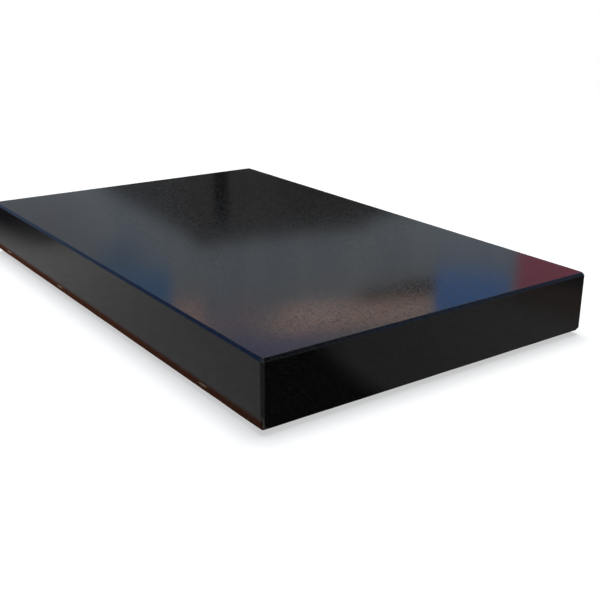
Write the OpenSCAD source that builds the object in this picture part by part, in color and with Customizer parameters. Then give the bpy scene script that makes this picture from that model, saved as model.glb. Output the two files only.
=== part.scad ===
// Granite slab for leatherworking: a thick block of black granite that is struck, pressed and skived
// on, standing on four stick-on rubber feet so that it neither slides nor rocks on the bench.
// Units are millimetres. X runs along the slab, Y across it and Z is up. The origin is on the bench,
// under the middle of the slab.

/* [Slab] */
// Length of the stone
slab_length = 406; // [300:1:600]
// Width of the stone
slab_width = 254; // [200:1:400]
// Thickness of the stone
slab_thickness = 40; // [25:1:60]
// Chamfer round the lapped working face
top_chamfer = 1.8; // [0.5:0.1:4]
// Chamfer down the four upright corners, measured along each side
corner_chamfer = 1.6; // [0.5:0.1:4]
// Small arris round the sawn underside
bottom_arris = 0.6; // [0.2:0.1:1.5]

/* [Feet] */
// Diameter of a rubber foot
foot_diameter = 30; // [24:1:40]
// Height of a rubber foot below its adhesive disc
foot_height = 3; // [2.5:0.5:8]
// Radius of the rounded lower edge of a foot
foot_edge_radius = 1; // [0.5:0.1:2]
// Distance from each side of the slab to the middle of a foot
foot_inset = 38; // [25:1:60]

/* [Adhesive] */
// Diameter of the double-sided adhesive disc over each foot
adhesive_diameter = 26; // [18:1:30]
// Thickness of the adhesive disc
adhesive_thickness = 0.5; // [0.2:0.1:1]

/* [Hidden] */
$fn = 96;
stand_off = foot_height + adhesive_thickness;
// Where the feet sit: a name, and which way it lies from the middle along X and Y
CORNERS = [
    ["front_left", -1, -1],
    ["front_right", 1, -1],
    ["back_left", -1, 1],
    ["back_right", 1, 1],
];

// A rectangle about the origin with its four corners cut off
module clipped_rectangle(length, width, cut) {
    x = length / 2;
    y = width / 2;
    polygon([
        [-x + cut, -y], [x - cut, -y], [x, -y + cut], [x, y - cut],
        [x - cut, y], [-x + cut, y], [-x, y - cut], [-x, -y + cut],
    ]);
}

// The slab's section across one pair of sides: a wide chamfer above and a small arris below
module edge_section(width) {
    x = width / 2;
    polygon([
        [-x + bottom_arris, 0], [x - bottom_arris, 0],
        [x, bottom_arris], [x, slab_thickness - top_chamfer],
        [x - top_chamfer, slab_thickness], [-x + top_chamfer, slab_thickness],
        [-x, slab_thickness - top_chamfer], [-x, bottom_arris],
    ]);
}

// The stone: what the plan and the two edge sections have in common
module granite_slab() {
    color([0.17, 0.18, 0.19])
    translate([0, 0, stand_off])
    intersection() {
        linear_extrude(slab_thickness)
            clipped_rectangle(slab_length, slab_width, corner_chamfer);
        rotate([90, 0, 0])
            linear_extrude(slab_width, center = true)
                edge_section(slab_length);
        rotate([90, 0, 90])
            linear_extrude(slab_length, center = true)
                edge_section(slab_width);
    }
}

// Puts a foot or an adhesive disc under its corner of the slab
module at_corner(corner) {
    translate([
        corner[1] * (slab_length / 2 - foot_inset),
        corner[2] * (slab_width / 2 - foot_inset),
        0,
    ])
    children();
}

// Half of a foot's section, with its lower outside edge rounded
module foot_section() {
    radius = foot_diameter / 2;
    square([radius - foot_edge_radius, foot_height]);
    translate([0, foot_edge_radius])
        square([radius, foot_height - foot_edge_radius]);
    translate([radius - foot_edge_radius, foot_edge_radius])
        circle(foot_edge_radius);
}

// A moulded hard-rubber foot
module foot(corner) {
    color([0.05, 0.05, 0.055])
    at_corner(corner)
    rotate_extrude()
        foot_section();
}

// The double-sided adhesive disc between a foot and the stone
module adhesive(corner) {
    color([0.75, 0.74, 0.7])
    at_corner(corner)
    translate([0, 0, foot_height])
        cylinder(h = adhesive_thickness, d = adhesive_diameter);
}

granite_slab();
for (corner = CORNERS) {
    adhesive(corner);
    foot(corner);
}
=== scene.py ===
import math
import random

import bmesh
import bpy
from mathutils import Matrix, Vector, noise


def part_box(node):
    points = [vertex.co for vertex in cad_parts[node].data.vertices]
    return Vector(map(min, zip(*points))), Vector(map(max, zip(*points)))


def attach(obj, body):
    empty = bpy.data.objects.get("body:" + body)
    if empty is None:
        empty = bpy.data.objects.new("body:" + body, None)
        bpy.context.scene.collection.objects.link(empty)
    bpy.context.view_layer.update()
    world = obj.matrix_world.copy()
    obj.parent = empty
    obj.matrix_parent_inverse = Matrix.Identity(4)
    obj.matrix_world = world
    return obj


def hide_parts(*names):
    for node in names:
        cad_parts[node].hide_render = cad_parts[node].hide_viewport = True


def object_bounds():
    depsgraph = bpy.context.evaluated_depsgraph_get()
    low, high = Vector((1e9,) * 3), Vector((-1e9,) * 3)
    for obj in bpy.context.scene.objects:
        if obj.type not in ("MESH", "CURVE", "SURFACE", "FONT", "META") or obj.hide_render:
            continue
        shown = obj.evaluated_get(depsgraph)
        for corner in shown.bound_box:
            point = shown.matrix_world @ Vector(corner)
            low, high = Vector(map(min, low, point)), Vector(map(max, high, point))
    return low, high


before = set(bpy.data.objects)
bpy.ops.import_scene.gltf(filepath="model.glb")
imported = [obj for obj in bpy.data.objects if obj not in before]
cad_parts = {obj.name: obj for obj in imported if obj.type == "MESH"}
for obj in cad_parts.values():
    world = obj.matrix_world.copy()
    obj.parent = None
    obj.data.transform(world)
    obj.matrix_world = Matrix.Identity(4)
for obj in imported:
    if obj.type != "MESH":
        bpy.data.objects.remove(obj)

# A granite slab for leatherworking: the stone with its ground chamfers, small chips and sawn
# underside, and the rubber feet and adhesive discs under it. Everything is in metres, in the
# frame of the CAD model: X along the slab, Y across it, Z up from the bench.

MM = 0.001
CORNERS = ("front_left", "front_right", "back_left", "back_right")
cad_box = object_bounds()
stone_low, stone_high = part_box("granite_slab")
rng = random.Random(7)


# ---------------------------------------------------------------- node graphs

class Graph:
    """The node tree of a material or a world, with short calls that add a node and wire it up."""

    def __init__(self, owner):
        owner.use_nodes = True
        self.tree = owner.node_tree
        self.tree.nodes.clear()

    def add(self, kind, inputs=None, **settings):
        """Adds a node. inputs maps a socket's name or number to a value or to another socket."""
        node = self.tree.nodes.new(kind)
        for name, value in settings.items():
            setattr(node, name, value)
        for name, value in (inputs or {}).items():
            socket = node.inputs[name]
            if isinstance(value, bpy.types.NodeSocket):
                self.tree.links.new(value, socket)
            else:
                socket.default_value = value
        return node

    def math(self, operation, a, b=0.0, c=0.0, clamp=False):
        inputs = {0: a, 1: b, 2: c}
        return self.add("ShaderNodeMath", inputs, operation=operation, use_clamp=clamp).outputs[0]

    def step(self, value, start, end, low=0.0, high=1.0):
        """low up to start, high from end on, and a smooth step between."""
        inputs = {"Value": value, "From Min": start, "From Max": end, "To Min": low, "To Max": high}
        node = self.add("ShaderNodeMapRange", inputs, interpolation_type="SMOOTHSTEP")
        return node.outputs["Result"]

    def mix(self, factor, a, b):
        """The colour a where factor is 0, and b where it is 1."""
        node = self.add("ShaderNodeMix", {0: factor, 6: a, 7: b}, data_type="RGBA")
        return node.outputs[2]

    def place(self):
        """Where a point lies on the object, in metres."""
        return self.add("ShaderNodeTexCoord").outputs["Object"]

    def stretched(self, vector, scale, rotation=(0, 0, 0)):
        """The vector in turned axes, for a pattern that is drawn out by scale along each of them."""
        inputs = {"Vector": vector, "Scale": scale, "Rotation": rotation}
        return self.add("ShaderNodeMapping", inputs, vector_type="TEXTURE").outputs[0]

    def noise(self, vector, size, detail=3.0, roughness=0.5):
        """Cloudy noise from 0 to 1 whose blobs measure about size."""
        inputs = {"Vector": vector, "Scale": 1 / size, "Detail": detail, "Roughness": roughness}
        return self.add("ShaderNodeTexNoise", inputs).outputs["Fac"]

    def grains(self, vector, size):
        """Three random values for each of the cells, of about this size, that fill the space."""
        cells = self.add("ShaderNodeTexVoronoi", {"Vector": vector, "Scale": 1 / size})
        return self.add("ShaderNodeSeparateColor", {0: cells.outputs["Color"]}).outputs

    def bump(self, height, distance, strength=1.0):
        inputs = {"Height": height, "Distance": distance, "Strength": strength}
        return self.add("ShaderNodeBump", inputs).outputs[0]

    def principled(self, **inputs):
        """The graph's surface. A name's underlines stand for the spaces of the socket's name."""
        sockets = {name.replace("_", " "): value for name, value in inputs.items()}
        shader = self.add("ShaderNodeBsdfPrincipled", sockets)
        self.add("ShaderNodeOutputMaterial", {"Surface": shader.outputs[0]})

    def painted(self, u, v, ground, patches):
        """A colour over the coordinates u and v: ground, with soft-edged rectangles over it in turn.
        A rectangle has its middle, half its sides, how soft those are, its turn and its colour."""
        colour = ground
        for middle, reach, blur, turn, paint in patches:
            across = self.math("SUBTRACT", u, middle[0])
            up = self.math("SUBTRACT", v, middle[1])
            cos, sin = math.cos(math.radians(turn)), math.sin(math.radians(turn))
            if turn:
                along = self.math("MULTIPLY_ADD", across, cos, self.math("MULTIPLY", up, sin))
                up = self.math("MULTIPLY_ADD", up, cos, self.math("MULTIPLY", across, -sin))
                across = along
            inside = 1.0
            for offset, half, soft in zip((across, up), reach, blur):
                off = self.math("ABSOLUTE", offset)
                inside = self.math("MULTIPLY", self.step(off, half - soft, half + soft, 1.0, 0.0), inside)
            colour = self.mix(inside, colour, (*paint, 1))
        return colour


# ---------------------------------------------------------------- materials

BLACK = (0.0004, 0.0004, 0.0005)
GREY = (0.012, 0.0122, 0.0126)
FLECK = (0.0065, 0.0065, 0.0067)
SAWN_DARK = (0.040, 0.041, 0.043)
SAWN_LIGHT = (0.20, 0.20, 0.205)
CRYSTAL = 0.85 * MM
LATH = 0.55 * MM
LATH_TURNS = ((0.2, 0.4, 0.3), (1.0, 0.3, 1.1), (0.5, 1.1, 1.9), (1.4, 0.8, 2.6))
POWDER = 0.35 * MM
CLOUD = 60 * MM
DIP = 2 * MM


def granite(name, dark, light, gloss, gloss_spread, dullness, relief, marks=0.0):
    """Fine black granite. gloss is the roughness of its best polished crystals, and about one crystal
    in four stays duller. The crystals differ in colour too, with pale laths among them, and the face
    dips and swells by relief. marks is how deep the marks of the saw are beside that."""
    material = bpy.data.materials.new(name)
    graph = Graph(material)
    here = graph.place()
    wobble = graph.add("ShaderNodeTexNoise", {"Vector": here, "Scale": 900.0, "Detail": 2.0})
    bend = graph.add("ShaderNodeVectorMath", {0: wobble.outputs["Color"], 3: 0.4 * MM}, operation="SCALE")
    place = graph.add("ShaderNodeVectorMath", {0: here, 1: bend.outputs[0]}).outputs[0]
    crystal = graph.grains(place, CRYSTAL)
    powder = graph.noise(place, POWDER, 4.0, 0.65)
    cloud = graph.noise(here, CLOUD, 3.0, 0.55)
    laths = 0.0
    for turn in LATH_TURNS:
        lath = graph.grains(graph.stretched(place, (2.2, 0.8, 0.9), turn), LATH)
        laths = graph.math("MAXIMUM", graph.step(lath[0], 0.92, 0.95), laths)
    tone = graph.math("MULTIPLY_ADD", crystal[0], 0.2, graph.math("MULTIPLY", laths, 0.75))
    tone = graph.math("MULTIPLY_ADD", powder, 0.2, tone)
    tone = graph.math("MULTIPLY_ADD", cloud, 0.1, graph.math("SUBTRACT", tone, 0.25), clamp=True)
    dull = graph.step(crystal[1], 0.74, 0.80)
    matt = graph.math("MULTIPLY_ADD", dull, dullness, graph.math("MULTIPLY", powder, gloss_spread))
    swell = graph.noise(here, DIP, 2.0, 0.6)
    if marks:
        sawn = graph.noise(graph.stretched(here, (80, 1, 80), (0, 0, 0.02)), 2.5 * MM, 2.0, 0.6)
        swell = graph.math("MULTIPLY_ADD", sawn, marks, swell)
    graph.principled(
        Base_Color=graph.mix(tone, (*dark, 1), (*light, 1)),
        Roughness=graph.math("ADD", matt, gloss, clamp=True),
        IOR=1.55,
        Normal=graph.bump(graph.math("MULTIPLY_ADD", crystal[2], 0.1, swell), relief),
    )
    return material


def rubber(name):
    """Moulded hard rubber: near black, matt, with the fine texture of the mould and a little dust."""
    material = bpy.data.materials.new(name)
    graph = Graph(material)
    texture = graph.noise(graph.place(), 0.35 * MM, 3.0, 0.6)
    dust = graph.step(graph.noise(graph.place(), 7 * MM, 5.0, 0.6), 0.45, 0.75)
    graph.principled(
        Base_Color=graph.mix(dust, (0.016, 0.016, 0.017, 1), (0.04, 0.039, 0.037, 1)),
        Roughness=graph.math("MULTIPLY_ADD", texture, 0.2, 0.5),
        IOR=1.5,
        Normal=graph.bump(texture, 0.04 * MM),
    )
    return material


def foam(name):
    """Double-sided foam tape: pale, with closed cells and a shine of adhesive."""
    material = bpy.data.materials.new(name)
    graph = Graph(material)
    cells = graph.noise(graph.place(), 0.25 * MM, 2.0, 0.5)
    stain = graph.noise(graph.place(), 4 * MM, 4.0, 0.6)
    graph.principled(
        Base_Color=graph.mix(stain, (0.55, 0.53, 0.48, 1), (0.68, 0.66, 0.61, 1)),
        Roughness=graph.math("MULTIPLY_ADD", cells, 0.3, 0.45),
        IOR=1.48,
        Normal=graph.bump(cells, 0.05 * MM),
    )
    return material


# ---------------------------------------------------------------- meshes

def finished(mesh, name, materials, smooth_angle=35):
    """Turns a bmesh into an object, with every edge sharper than smooth_angle kept crisp."""
    bmesh.ops.recalc_face_normals(mesh, faces=mesh.faces)
    for face in mesh.faces:
        face.smooth = True
    for edge in mesh.edges:
        edge.smooth = edge.calc_face_angle(0) < math.radians(smooth_angle)
    data = bpy.data.meshes.new(name)
    mesh.to_mesh(data)
    mesh.free()
    for material in materials:
        data.materials.append(material)
    piece = bpy.data.objects.new(name, data)
    bpy.context.scene.collection.objects.link(piece)
    return piece


def apply_modifiers(piece):
    """Replaces the piece's mesh with what its modifiers make of it."""
    graph = bpy.context.evaluated_depsgraph_get()
    data = bpy.data.meshes.new_from_object(piece.evaluated_get(graph))
    piece.modifiers.clear()
    piece.data = data


def belongs(piece, node):
    """The piece stands for a CAD node, which it hides, and moves with the slab."""
    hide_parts(node)
    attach(piece, "root")


# ---------------------------------------------------------------- the stone

LAPPED, POLISHED, GROUND, SAWN = range(4)
FLAT = 0.999
TOP_CHAMFER = 1.75 * MM
BOTTOM_ARRIS = 0.6 * MM
CORNER_CHAMFER = 1.6 * MM
CORNER_TIP = 0.5 * MM
EDGE_ROUND = 0.14 * MM
STRETCH = 9 * MM
WANDER = 0.09 * MM
LONG_SIDES_SPARED = 0.2 * MM


def stone_sides(inset):
    """The long sides of the stone's outline, each a start and an end, where it is inset that much."""
    half = (stone_high - stone_low) / 2
    x, y = half.x - inset, half.y - inset
    cut = max(CORNER_CHAMFER - 2 * inset, CORNER_TIP)
    ends = (
        ((-x + cut, -y), (x - cut, -y)),
        ((x, -y + cut), (x, y - cut)),
        ((x - cut, y), (-x + cut, y)),
        ((-x, y - cut), (-x, -y + cut)),
    )
    return [(Vector(start), Vector(end)) for start, end in ends]


def stone_ring(inset, z, sway_in, sway_up, drift):
    """One closed ring of points round the stone. drift says how far the grinder wandered at each
    point, and the two sways how that moves the ring inwards and upwards."""
    points = []
    for side, (start, end) in enumerate(stone_sides(inset)):
        along = end - start
        inward = Vector((-along.y, along.x)).normalized()
        last = len(drift[side]) - 1
        for i, off in enumerate(drift[side]):
            spot = start + along * (i / last) + inward * off * sway_in
            points.append((spot.x, spot.y, stone_low.z + z + off * sway_up))
    return points


def stone_block():
    """The stone's flat faces, its ground chamfers, whose width wanders a little, and its arrises."""
    height = stone_high.z - stone_low.z
    drift = []
    for side, (start, end) in enumerate(stone_sides(0)):
        steps = round((end - start).length / STRETCH)
        seed = rng.uniform(0, 100)
        spared = LONG_SIDES_SPARED if side % 2 == 0 else 0.0
        wander = [
            noise.noise((seed + i * 0.45, 0, 0)) * 2 * WANDER - spared for i in range(steps + 1)
        ]
        wander[0] = wander[-1] = 0.0
        drift.append(wander)
    levels = (
        (BOTTOM_ARRIS, 0.0, 1, 0),
        (0.0, BOTTOM_ARRIS, 0, 1),
        (0.0, height - TOP_CHAMFER, 0, -1),
        (TOP_CHAMFER, height, 1, 0),
    )
    mesh = bmesh.new()
    rings = []
    for inset, z, sway_in, sway_up in levels:
        points = stone_ring(inset, z, sway_in, sway_up, drift)
        rings.append([mesh.verts.new(point) for point in points])
    mesh.faces.new(rings[0][::-1])
    mesh.faces.new(rings[-1])
    for below, above in zip(rings, rings[1:]):
        for i, corner in enumerate(below):
            j = (i + 1) % len(below)
            mesh.faces.new((corner, below[j], above[j], above[i]))
    return finished(mesh, "granite_slab_stone", ())


def chip_cutter(mesh, spot, outward, width, depth):
    """Adds a lumpy ball that scoops a chip of that width and depth out of the stone's edge at spot."""
    radius = width * width / (8 * depth) + depth / 2
    made = bmesh.ops.create_icosphere(mesh, subdivisions=3, radius=1.0)
    seed = Vector((rng.uniform(0, 50), rng.uniform(0, 50), rng.uniform(0, 50)))
    centre = spot + outward * (radius - depth)
    for vert in made["verts"]:
        lump = 1 + 0.10 * noise.noise(vert.co * 1.7 + seed) + 0.05 * noise.noise(vert.co * 4 + seed)
        vert.co = centre + vert.co * radius * lump


def stone_chips(stone):
    """Knocks small chips off the stone's edges: a few along the top, more along the underside."""
    half = (stone_high - stone_low) / 2
    sides = (
        # which way the side faces and runs, how far out it lies and half its length
        ((0, -1, 0), (1, 0, 0), half.y, half.x),
        ((1, 0, 0), (0, 1, 0), half.x, half.y),
        ((0, 1, 0), (1, 0, 0), half.y, half.x),
        ((-1, 0, 0), (0, 1, 0), half.x, half.y),
    )
    edges = (
        # height, how much the chips face up, how far in, how many, and their least and most width
        (stone_high.z - TOP_CHAMFER, 0.4, 0.0, 3, 0.5, 1.1),
        (stone_high.z, 2.4, TOP_CHAMFER, 3, 0.5, 1.1),
        (stone_low.z, -1.0, BOTTOM_ARRIS / 2, 7, 0.8, 2.6),
    )
    mesh = bmesh.new()
    for faces, runs, out, half_length in sides:
        normal, along = Vector(faces), Vector(runs)
        reach = half_length - 6 * MM
        for z, upward, inset, count, least, most in edges:
            for _ in range(count):
                width = rng.uniform(least, most) * MM
                spot = normal * (out - inset) + along * rng.uniform(-reach, reach)
                spot.z = z
                outward = (normal + Vector((0, 0, upward))).normalized()
                chip_cutter(mesh, spot, outward, width, width * rng.uniform(0.16, 0.26))
    nick = Vector((half.x - 0.4 * MM, half.y - 2.2 * MM, stone_low.z))
    chip_cutter(mesh, nick, Vector((0.8, 0.5, -0.6)).normalized(), 5.5 * MM, 1.1 * MM)
    cutter = finished(mesh, "chip_cutter", ())
    cut = stone.modifiers.new("chips", "BOOLEAN")
    cut.object = cutter
    cut.operation = "DIFFERENCE"
    cut.solver = "EXACT"
    cut.use_self = True
    apply_modifiers(stone)
    bpy.data.objects.remove(cutter)


def stone_piece():
    """The whole stone, with a finish of its own on the lapped top, the polished sides, the ground
    edges and the sawn underside."""
    stone = stone_block()
    rounding = stone.modifiers.new("rounding", "BEVEL")
    rounding.width = EDGE_ROUND
    rounding.segments = 3
    rounding.limit_method = "ANGLE"
    rounding.angle_limit = math.radians(20)
    apply_modifiers(stone)
    stone_chips(stone)
    mesh = bmesh.new()
    mesh.from_mesh(stone.data)
    bpy.data.objects.remove(stone)
    for face in mesh.faces:
        steepest = max(abs(c) for c in face.normal)
        big = face.calc_area() > 40 * MM * MM
        if steepest < FLAT or not big:
            face.material_index = GROUND
        elif face.normal.z > FLAT:
            face.material_index = LAPPED
        elif face.normal.z < -FLAT:
            face.material_index = SAWN
        else:
            face.material_index = POLISHED
    finishes = (
        granite("granite_lapped", BLACK, GREY, 0.05, 0.014, 0.11, 0.011 * MM),
        granite("granite_polished", BLACK, FLECK, 0.03, 0.02, 0.10, 0.01 * MM),
        granite("granite_ground", BLACK, GREY, 0.10, 0.03, 0.05, 0.015 * MM),
        granite("granite_sawn", SAWN_DARK, SAWN_LIGHT, 0.55, 0.2, 0.1, 0.1 * MM, 2.0),
    )
    stone = finished(mesh, "granite_slab_stone", finishes, 28)
    weights = stone.modifiers.new("face_normals", "WEIGHTED_NORMAL")
    weights.keep_sharp = True
    weights.weight = 100
    apply_modifiers(stone)
    belongs(stone, "granite_slab")
    return stone


# ---------------------------------------------------------------- feet and adhesive

def lathe(profile, centre, turns=96, wobble=0.0):
    """A closed body turned round a vertical axis from (radius, z) points, with the rim a bit uneven."""
    mesh = bmesh.new()
    rings = []
    seed = rng.uniform(0, 50)
    for radius, z in profile:
        ring = []
        for i in range(turns):
            angle = 2 * math.pi * i / turns
            uneven = wobble * noise.noise((math.cos(angle) * 2 + seed, math.sin(angle) * 2, 0))
            reach = radius + min(uneven, 0)
            ring.append(mesh.verts.new((
                centre.x + reach * math.cos(angle), centre.y + reach * math.sin(angle), z
            )))
        rings.append(ring)
    for inner, outer in zip(rings, rings[1:]):
        for i in range(turns):
            j = (i + 1) % turns
            mesh.faces.new((inner[i], inner[j], outer[j], outer[i]))
    mesh.faces.new(rings[0])
    mesh.faces.new(rings[-1][::-1])
    return mesh


def foot_profile(radius, low, high):
    """Half of a foot's section, from the middle of the sole outwards and up to the top."""
    points = [(0.4 * MM, low + 0.25 * MM), (0.9 * MM, low + 0.25 * MM), (1.2 * MM, low)]
    groove, deep = 0.4 * MM, 0.5 * MM
    for ring in (4.2, 7.2, 10.2):
        middle = ring * MM
        points += [
            (middle - groove - 0.1 * MM, low), (middle - groove, low + 0.1 * MM),
            (middle - groove * 0.7, low + deep), (middle + groove * 0.7, low + deep),
            (middle + groove, low + 0.1 * MM), (middle + groove + 0.1 * MM, low),
        ]
    edge, draft = 0.9 * MM, 0.3 * MM
    for step in range(7):
        angle = math.radians(90 * step / 6)
        points.append((
            radius - draft - edge + edge * math.sin(angle), low + edge - edge * math.cos(angle)
        ))
    points += [(radius - 0.12 * MM, high - 0.25 * MM), (radius, high - 0.12 * MM)]
    points += [(radius - 0.02 * MM, high - 0.02 * MM), (radius - 0.1 * MM, high), (0.4 * MM, high)]
    return points


def foot_piece(corner, material):
    low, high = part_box("foot_" + corner)
    profile = foot_profile((high.x - low.x) / 2, low.z, high.z)
    foot = finished(lathe(profile, (low + high) / 2), "rubber_foot_" + corner, (material,), 50)
    belongs(foot, "foot_" + corner)


def adhesive_piece(corner, material):
    low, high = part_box("adhesive_" + corner)
    radius, pinch = (high.x - low.x) / 2, 0.08 * MM
    profile = [
        (0.5 * MM, low.z), (radius - pinch, low.z), (radius, low.z + pinch),
        (radius - pinch * 0.4, (low.z + high.z) / 2),
        (radius, high.z - pinch), (radius - pinch, high.z), (0.5 * MM, high.z),
    ]
    disc = lathe(profile, (low + high) / 2, wobble=0.5 * MM)
    piece = finished(disc, "adhesive_disc_" + corner, (material,), 50)
    belongs(piece, "adhesive_" + corner)


# ---------------------------------------------------------------- floor, light and camera

BACKDROP = 1.0
FLOOR_GLOW = 0.5


def emission(name, colour_of):
    """A glowing material whose colour is worked out by colour_of(graph)."""
    material = bpy.data.materials.new(name)
    graph = Graph(material)
    shader = graph.add("ShaderNodeEmission", {"Color": colour_of(graph)})
    graph.add("ShaderNodeOutputMaterial", {"Surface": shader.outputs[0]})
    return material


def staged(name, mesh, material, camera=False, glossy=False, diffuse=False, shadow=False):
    """A piece of the studio, seen only by the kinds of ray that are named."""
    piece = finished(mesh, name, (material,))
    piece.visible_camera = camera
    piece.visible_glossy = glossy
    piece.visible_diffuse = diffuse
    piece.visible_shadow = shadow
    piece.visible_transmission = False
    piece.visible_volume_scatter = False
    return piece


def floor_material():
    """Matt pale board that glows a little, so that shadows on it stay light. It thins out into the
    backdrop."""
    material = bpy.data.materials.new("pale_floor")
    graph = Graph(material)
    here = graph.place()
    grain = graph.noise(here, 3 * MM, 4.0, 0.6)
    colour = graph.mix(grain, (0.84, 0.84, 0.84, 1), (0.88, 0.88, 0.88, 1))
    board = graph.add("ShaderNodeBsdfDiffuse", {"Color": colour, "Roughness": 0.4})
    glow = graph.add("ShaderNodeEmission", {"Color": (BACKDROP, BACKDROP, BACKDROP, 1)})
    lit = graph.add("ShaderNodeMixShader", {0: FLOOR_GLOW, 1: board.outputs[0], 2: glow.outputs[0]})
    clear = graph.add("ShaderNodeBsdfTransparent")
    reach = graph.add("ShaderNodeVectorMath", {0: here}, operation="LENGTH").outputs["Value"]
    faded = graph.add(
        "ShaderNodeMixShader", {0: graph.step(reach, 0.35, 1.3), 1: lit.outputs[0], 2: clear.outputs[0]}
    )
    graph.add("ShaderNodeOutputMaterial", {"Surface": faded.outputs[0]})
    return material


def painted_side_reflections(graph):
    """A card that glows but is no lamp, seen only by mirror rays: the painted reflections in the
    polished sides. A grey bench top, painted dark past the stone's front right-hand corner and
    with painted shadow under the stone."""
    here = graph.add("ShaderNodeSeparateXYZ", {0: graph.place()})
    x, y = here.outputs[0], here.outputs[1]
    half = (stone_high - stone_low) / 2
    front, right = -half.y, half.x
    # Painted dark reflection past the stone's front right-hand corner
    dark = (0.03, 0.03, 0.03)
    patches = (
        ((0.15, -0.3), (0.25, 0.6), (0.15, 0.1), 0, (0.305, 0.305, 0.305)),
        ((-0.25, -0.21), (0.05, 0.05), (0.02, 0.02), 0, (0.22, 0.22, 0.22)),
        ((-0.4, -0.4), (0.18, 0.26), (0.10, 0.03), 0, (0.03, 0.03, 0.035)),
        ((right + 0.4, 0), (0.4, 0.9), (0.004, 0.1), 0, (0.22, 0.22, 0.22)),
        ((right + 0.06, 0.12), (0.12, 0.09), (0.01, 0.05), 0, (0.245, 0.245, 0.245)),
        ((right + 0.06, 0.21), (0.12, 0.07), (0.01, 0.03), 0, (0.195, 0.160, 0.145)),
        ((right + 0.12, 0.275), (0.07, 0.07), (0.03, 0.04), 0, (0.05, 0.05, 0.055)),
        ((right + 0.4, -0.540), (0.4, 0.50), (0.004, 0.015), 0, dark),
        ((right + 0.08, -0.062), (0.04, 0.035), (0.02, 0.015), 25, dark),
        ((right + 0.2, front - 0.3), (0.2, 0.3), (0.004, 0.01), 0, (0.20, 0.20, 0.20)),
        # A pale painted glint just off the stone's front right-hand corner
        ((right + 0.006, front - 0.006), (0.004, 0.012), (0.002, 0.003), 0, (0.60, 0.57, 0.55)),
        # Painted shadow under the stone
        ((0, 0), (right + 0.0012, half.y + 0.0012), (0.0005, 0.0005), 0, (0.02, 0.01, 0.008)),
    )
    uneven = graph.noise(graph.place(), 8 * MM, 3.0, 0.6)
    edge = graph.math("MULTIPLY_ADD", uneven, 0.003, graph.math("SUBTRACT", y, 0.0015))
    colour = graph.painted(x, edge, (0.435, 0.435, 0.43, 1), patches)
    # Dark streaks painted into the reflected bench top
    return graph.mix(graph.step(uneven, 0.3, 0.8, 0.0, 0.16), colour, (0, 0, 0, 1))


# The painted brown reflection at the foot of the stone's front: its colour, the heights it fades out
# between and how ragged its top is
BROWN = (0.22, 0.080, 0.046, 1)
BROWN_FADES = (6.4 * MM, 10.2 * MM)
BROWN_RAGGED = 1.8 * MM
# Where the pale painted reflections of splinters lie along the brown reflection
REFLECTED_SPLINTERS_AT = (-0.176, -0.068, 0.141)


def painted_brown_reflection():
    """A strip that glows but is no lamp, seen only by mirror rays: the painted brown reflection at the
    foot of the stone's front, uneven and splintered, and clear above.
    """
    material = bpy.data.materials.new("mirrored_edge_glow")
    graph = Graph(material)
    here = graph.add("ShaderNodeSeparateXYZ", {0: graph.place()})
    uneven = graph.noise(graph.place(), 8 * MM, 3.0, 0.6)
    height = graph.math("SUBTRACT", here.outputs[2], BROWN_RAGGED / 2)
    height = graph.math("MULTIPLY_ADD", uneven, BROWN_RAGGED, height)
    # Pale painted reflections of splinters in the brown
    reflected_splinters = tuple(
        ((place, 6.4 * MM), (4 * MM, 0.6 * MM), (2 * MM, 0.3 * MM), 3, (0.70, 0.55, 0.40))
        for place in REFLECTED_SPLINTERS_AT
    )
    glow = graph.add(
        "ShaderNodeEmission", {"Color": graph.painted(here.outputs[0], height, BROWN, reflected_splinters)}
    )
    clear = graph.add("ShaderNodeBsdfTransparent")
    fading = graph.step(height, *BROWN_FADES)
    shader = graph.add("ShaderNodeMixShader", {0: fading, 1: glow.outputs[0], 2: clear.outputs[0]})
    graph.add("ShaderNodeOutputMaterial", {"Surface": shader.outputs[0]})
    return material


# The heading, in degrees from +X, that the shapes around are counted from
VIEW_HEADING = 144
CEILING_FROM, CEILING_FULL = 38, 62
CEILING = (0.36, 0.37, 0.38, 1)
SKYLIGHTS = (
    # how far east and north of overhead, as slopes; half sizes; blurs; turn; colour
    ((0.11, 0.08), (0.14, 1.0), (0.10, 0.3), 35, (1.15, 1.14, 1.12)),
    ((-0.34, -0.24), (0.12, 1.0), (0.09, 0.3), 35, (1.0, 1.0, 1.0)),
    ((0.55, 0.39), (0.12, 1.0), (0.09, 0.3), 35, (1.0, 1.01, 1.03)),
)
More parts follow.
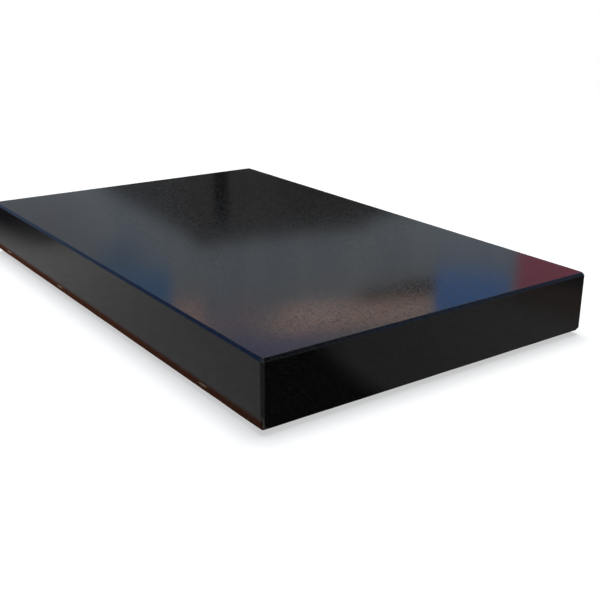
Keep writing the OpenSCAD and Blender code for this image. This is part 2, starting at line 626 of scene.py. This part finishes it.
# In these two: heading off the view's and elevation; half sizes; blurs; turn; colour
CHAMFERS_MIRROR = (
    ((-303, 18), (16, 8), (6, 3), 0, (0.16, 0.26, 0.46)),
    ((-300, 33), (18, 11), (6, 5), 0, (0.08, 0.15, 0.42)),
    ((-78, 40), (12, 10), (5, 5), 0, (0.15, 0.20, 0.35)),
    ((-95, 53), (9.5, 7.5), (3.5, 4), 0, (0.02, 0.02, 0.025)),
)
AROUND = (
    ((17.5, 14.5), (4.5, 2.5), (2.5, 1.5), 0, (0.235, 0.250, 0.285)),
    ((0.8, 5.0), (7.0, 10.65), (0.5, 0.45), 6, (0.058, 0.057, 0.056)),
    ((8.45, 12.2), (4.0, 2.4), (0.9, 0.6), -31, (0.058, 0.057, 0.057)),
    ((-1.6, 7.2), (3.6, 7.7), (1.6, 0.6), 5, (0.040, 0.039, 0.038)),
    ((-6.6, 15.0), (2.4, 0.9), (1.2, 0.4), 14, (0.285, 0.325, 0.36)),
    ((5.15, 10.0), (0.45, 5.0), (0.22, 0.4), 0, (0.008, 0.008, 0.008)),
    ((12.0, 17.2), (1.6, 1.0), (1.0, 0.9), 30, (0.17, 0.23, 0.32)),
    ((10.6, 19.4), (2.1, 1.7), (0.4, 1.0), 0, (0.12, 0.26, 0.50)),
    ((3.8, 23.4), (6.4, 1.8), (2.4, 0.5), 0, (0.28, 0.29, 0.46)),
    ((6.0, 21.3), (3.2, 0.9), (0.8, 0.7), 12, (0.42, 0.35, 0.39)),
    ((7.4, 20.8), (1.0, 1.2), (0.5, 0.6), 0, (0.66, 0.46, 0.42)),
    ((-3.3, 20.45), (5.6, 0.85), (2.1, 0.5), 7, (0.85, 0.60, 0.51)),
    ((-1.0, 20.4), (1.4, 0.5), (1.2, 0.5), 0, (0.88, 0.67, 0.60)),
    ((2.5, 24.1), (3.7, 1.8), (1.5, 0.5), 0, (0.28, 0.29, 0.46)),
    ((-6.3, 18.95), (2.7, 0.42), (1.2, 0.3), 9, (0.06, 0.06, 0.055)),
    ((-7.5, 18.65), (1.2, 0.45), (0.9, 0.25), 9, (0.03, 0.03, 0.025)),
    ((-10.9, 19.4), (2.3, 1.9), (0.35, 0.9), 0, (0.135, 0.29, 0.67)),
    ((-16.2, 16.8), (2.6, 2.6), (0.45, 0.8), 0, (0.48, 0.13, 0.19)),
    ((-1.0, 30.0), (11.0, 4.4), (2.0, 0.8), 0, (0.04, 0.04, 0.06)),
)


def surroundings():
    """The light from all round: a grey workshop with rows of skylights overhead, and the dim shapes
    that the lapped face mirrors."""
    world = bpy.data.worlds.new("workshop")
    bpy.context.scene.world = world
    graph = Graph(world)
    towards = graph.add("ShaderNodeTexCoord").outputs["Generated"]
    axes = graph.add("ShaderNodeSeparateXYZ", {0: towards})
    heading = graph.math("DEGREES", graph.math("ARCTAN2", axes.outputs[1], axes.outputs[0]))
    rise = graph.math("DEGREES", graph.math("ARCSINE", axes.outputs[2]))
    off = graph.math("SUBTRACT", heading, VIEW_HEADING)
    bands = graph.add("ShaderNodeCombineXYZ", {0: off, 1: graph.math("MULTIPLY", rise, 0.15)}).outputs[0]
    drift = graph.step(graph.noise(bands, 1.5), 0.3, 0.7)
    haze = graph.mix(drift, (0.265, 0.305, 0.345, 1), (0.31, 0.35, 0.385, 1))
    height = graph.math("MAXIMUM", axes.outputs[2], 0.1)
    east = graph.math("DIVIDE", axes.outputs[0], height)
    north = graph.math("DIVIDE", axes.outputs[1], height)
    ceiling = graph.painted(east, north, CEILING, SKYLIGHTS)
    ground = graph.mix(graph.step(rise, CEILING_FROM, CEILING_FULL), haze, ceiling)
    colour = graph.painted(off, rise, ground, CHAMFERS_MIRROR + AROUND)
    glow = graph.add("ShaderNodeBackground", {"Color": colour})
    graph.add("ShaderNodeOutputWorld", {"Surface": glow.outputs[0]})


def softbox(name, spot, size, power):
    """A square area light at spot that faces the middle of the slab and isn't mirrored in it."""
    data = bpy.data.lights.new(name, "AREA")
    data.shape = "SQUARE"
    data.size = size
    data.energy = power
    light = bpy.data.objects.new(name, data)
    light.location = spot
    light.rotation_euler = (-spot).to_track_quat("-Z", "Y").to_euler()
    light.visible_glossy = False
    bpy.context.scene.collection.objects.link(light)


def square(side, z):
    """A level square with sides of that length, centred over the origin at height z."""
    mesh = bmesh.new()
    bmesh.ops.create_grid(mesh, x_segments=1, y_segments=1, size=side / 2)
    for vert in mesh.verts:
        vert.co.z = z
    return mesh


def upright_strip(length, height, y, z):
    """A strip of that length along X, standing on height z at that y."""
    mesh = bmesh.new()
    corners = ((-1, 0), (1, 0), (1, 1), (-1, 1))
    mesh.faces.new([mesh.verts.new((length / 2 * i, y, z + height * j)) for i, j in corners])
    return mesh


def dome(radius):
    """A ball round the origin, for the backdrop that closes the scene in."""
    mesh = bmesh.new()
    bmesh.ops.create_uvsphere(mesh, u_segments=32, v_segments=16, radius=radius)
    return mesh


def studio():
    """The pale floor and backdrop, the glowing cards that only the stone mirrors, painting the reflection
    of a bench and its brown edge, and the light.
    """
    bench_z = cad_box[0].z
    staged("floor", square(6.0, bench_z), floor_material(), camera=True, diffuse=True, shadow=True)
    backdrop = emission("backdrop_glow", lambda graph: (BACKDROP, BACKDROP, BACKDROP, 1))
    staged("backdrop", dome(12.0), backdrop, camera=True)
    # A glowing card, no lamp, that paints the reflections and the shadow under the stone in its polished
    # sides
    bench = emission("mirrored_bench_glow", painted_side_reflections)
    staged("painted_side_reflections", square(4.0, bench_z + 0.1 * MM), bench, glossy=True)
    # A glowing strip, no lamp, that paints the brown reflection at the foot of the stone's front
    length = stone_high.x - stone_low.x
    edge = upright_strip(length, 12 * MM, stone_low.y - 0.4 * MM, bench_z + 0.2 * MM)
    staged("painted_brown_reflection", edge, painted_brown_reflection(), glossy=True)
    softbox("overhead_softbox", Vector((-0.2, 0.3, 2.6)), 1.3, 75)
    surroundings()


def camera():
    """The eye stands off the stone's front right-hand corner and looks down along its length."""
    corner = Vector((stone_high.x, stone_low.y, stone_low.z))
    heading, tilt, roll = math.radians(54.153), math.radians(19.634), math.radians(0.452)
    data = bpy.data.cameras.new("camera")
    data.sensor_width = 36.0
    data.lens = 55.84
    data.clip_end = 40
    eye = bpy.data.objects.new("camera", data)
    eye.location = corner + Vector((0.3599, -0.2366, 0.2258))
    upright = Matrix.Rotation(heading, 4, "Z") @ Matrix.Rotation(math.pi / 2 - tilt, 4, "X")
    eye.rotation_euler = (upright @ Matrix.Rotation(roll, 4, "Z")).to_euler()
    bpy.context.scene.collection.objects.link(eye)
    bpy.context.scene.camera = eye


# ---------------------------------------------------------------- the scene

camera()
stone_piece()
foot_rubber = rubber("foot_rubber")
tape_foam = foam("tape_foam")
for corner_name in CORNERS:
    foot_piece(corner_name, foot_rubber)
    adhesive_piece(corner_name, tape_foam)
studio()
bpy.context.scene.view_settings.view_transform = "Standard"
